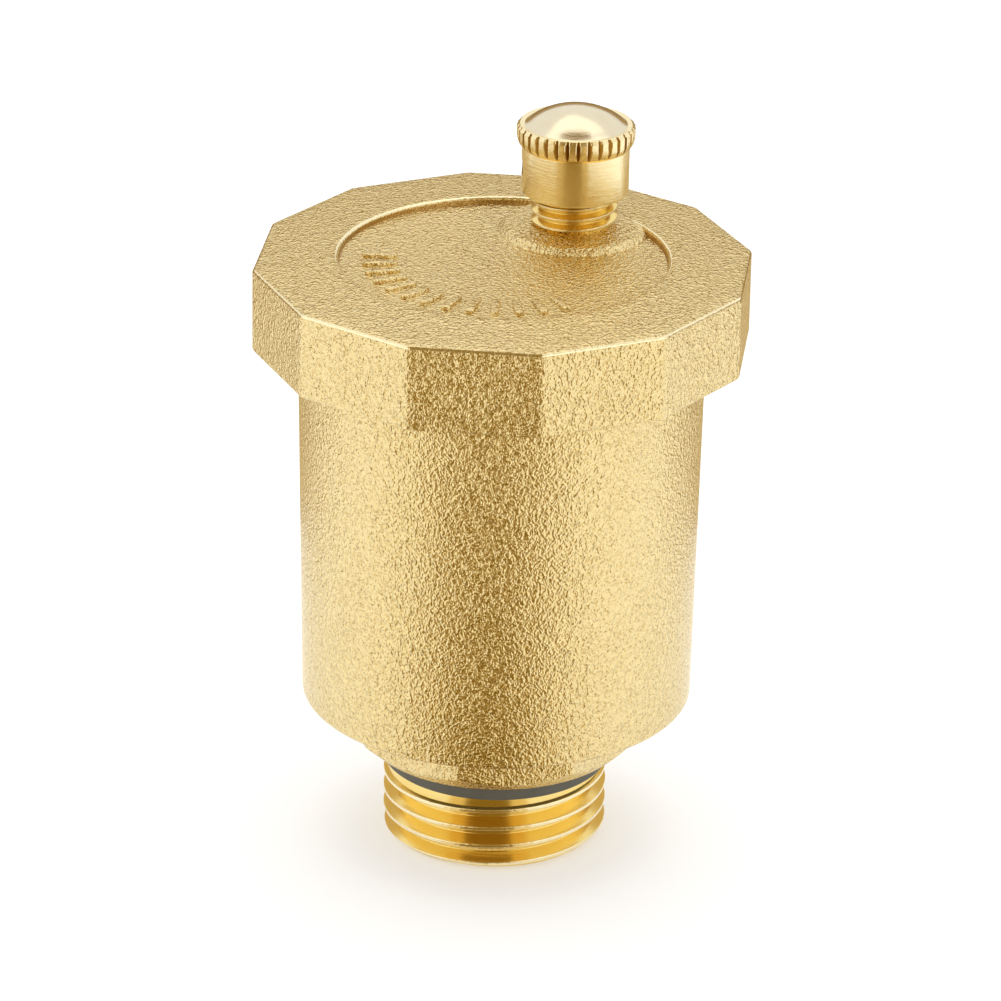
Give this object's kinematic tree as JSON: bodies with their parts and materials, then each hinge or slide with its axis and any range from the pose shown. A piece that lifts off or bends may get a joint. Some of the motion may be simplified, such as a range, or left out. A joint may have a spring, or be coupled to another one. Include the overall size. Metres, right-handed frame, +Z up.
{
  "type": "automatic air vent",
  "caption": "Brass float-operated air vent: round float chamber over a threaded inlet and wrench octagon, with a polygonal screwed cover and an off-centre knurled vent cap.",
  "frame": {"origin": "centre of the inlet thread's end face, on the inlet's axis", "axes": "+Z up along the inlet's and chamber's axis, +X towards the off-centre vent"},
  "size_m": [0.0444, 0.0444, 0.0689],
  "materials": {
    "cast_brass": "sandblasted casting",
    "turned_brass": "turned, satin",
    "stainless": "pressed stainless steel",
    "seal_rubber": "matt",
    "gasket_rubber": "matt",
    "float_plastic": "natural polypropylene"
  },
  "bodies": {
    "casing": {"body": "cast_brass", "inlet_seal_ring": "seal_rubber", "cover": "cast_brass", "cover_gasket": "gasket_rubber", "vent_nozzle": "turned_brass", "nozzle_o_ring": "seal_rubber", "lever_bracket": "stainless", "bracket_screws": "stainless", "bracket_washers": "stainless", "lever_pin": "stainless", "lever_pin_clip": "stainless", "valve_spring": "stainless"},
    "lever": {"valve_lever": "stainless", "float_link_pin": "stainless"},
    "float": {"float_shell": "float_plastic", "float_lid": "float_plastic", "float_link": "stainless", "float_link_nut": "stainless"},
    "plunger": {"valve_plunger": "turned_brass", "valve_pad": "seal_rubber"},
    "cap_seal": {"vent_cap_seal": "seal_rubber"},
    "cap": {"vent_cap": "turned_brass"}
  },
  "joints": [
    {"name": "lever_tilt", "type": "hinge", "parent": "casing", "child": "lever", "pos_m": [0.0132, 0, 0.04561], "axis": [0, 1, 0], "range_deg": [0, 17]},
    {"name": "float_hang", "type": "hinge", "parent": "lever", "child": "float", "pos_m": [0, 0, 0.04561], "axis": [0, 1, 0], "range_deg": [-17.1, 0.1]},
    {"name": "plunger_lift", "type": "slide", "parent": "casing", "child": "plunger", "axis": [0, 0, 1], "range_m": [0, 0.0007], "deforming": ["valve_spring"]},
    {"name": "cap_rise", "type": "slide", "parent": "casing", "child": "cap_seal", "axis": [0, 0, 1], "range_m": [-0.00201, 0.00151]},
    {"name": "cap_turn", "type": "hinge", "parent": "cap_seal", "child": "cap", "pos_m": [0.0109, 0, 0.064], "axis": [0, 0, 1], "range_deg": [-720, 540]}
  ],
  "couplings": [
    {"joint": "float_hang", "follows": "lever_tilt", "ratio": -1},
    {"joint": "plunger_lift", "follows": "lever_tilt", "m_per_rad": 0.00232},
    {"joint": "cap_rise", "follows": "cap_turn", "m_per_rad": 0.00015915}
  ]
}
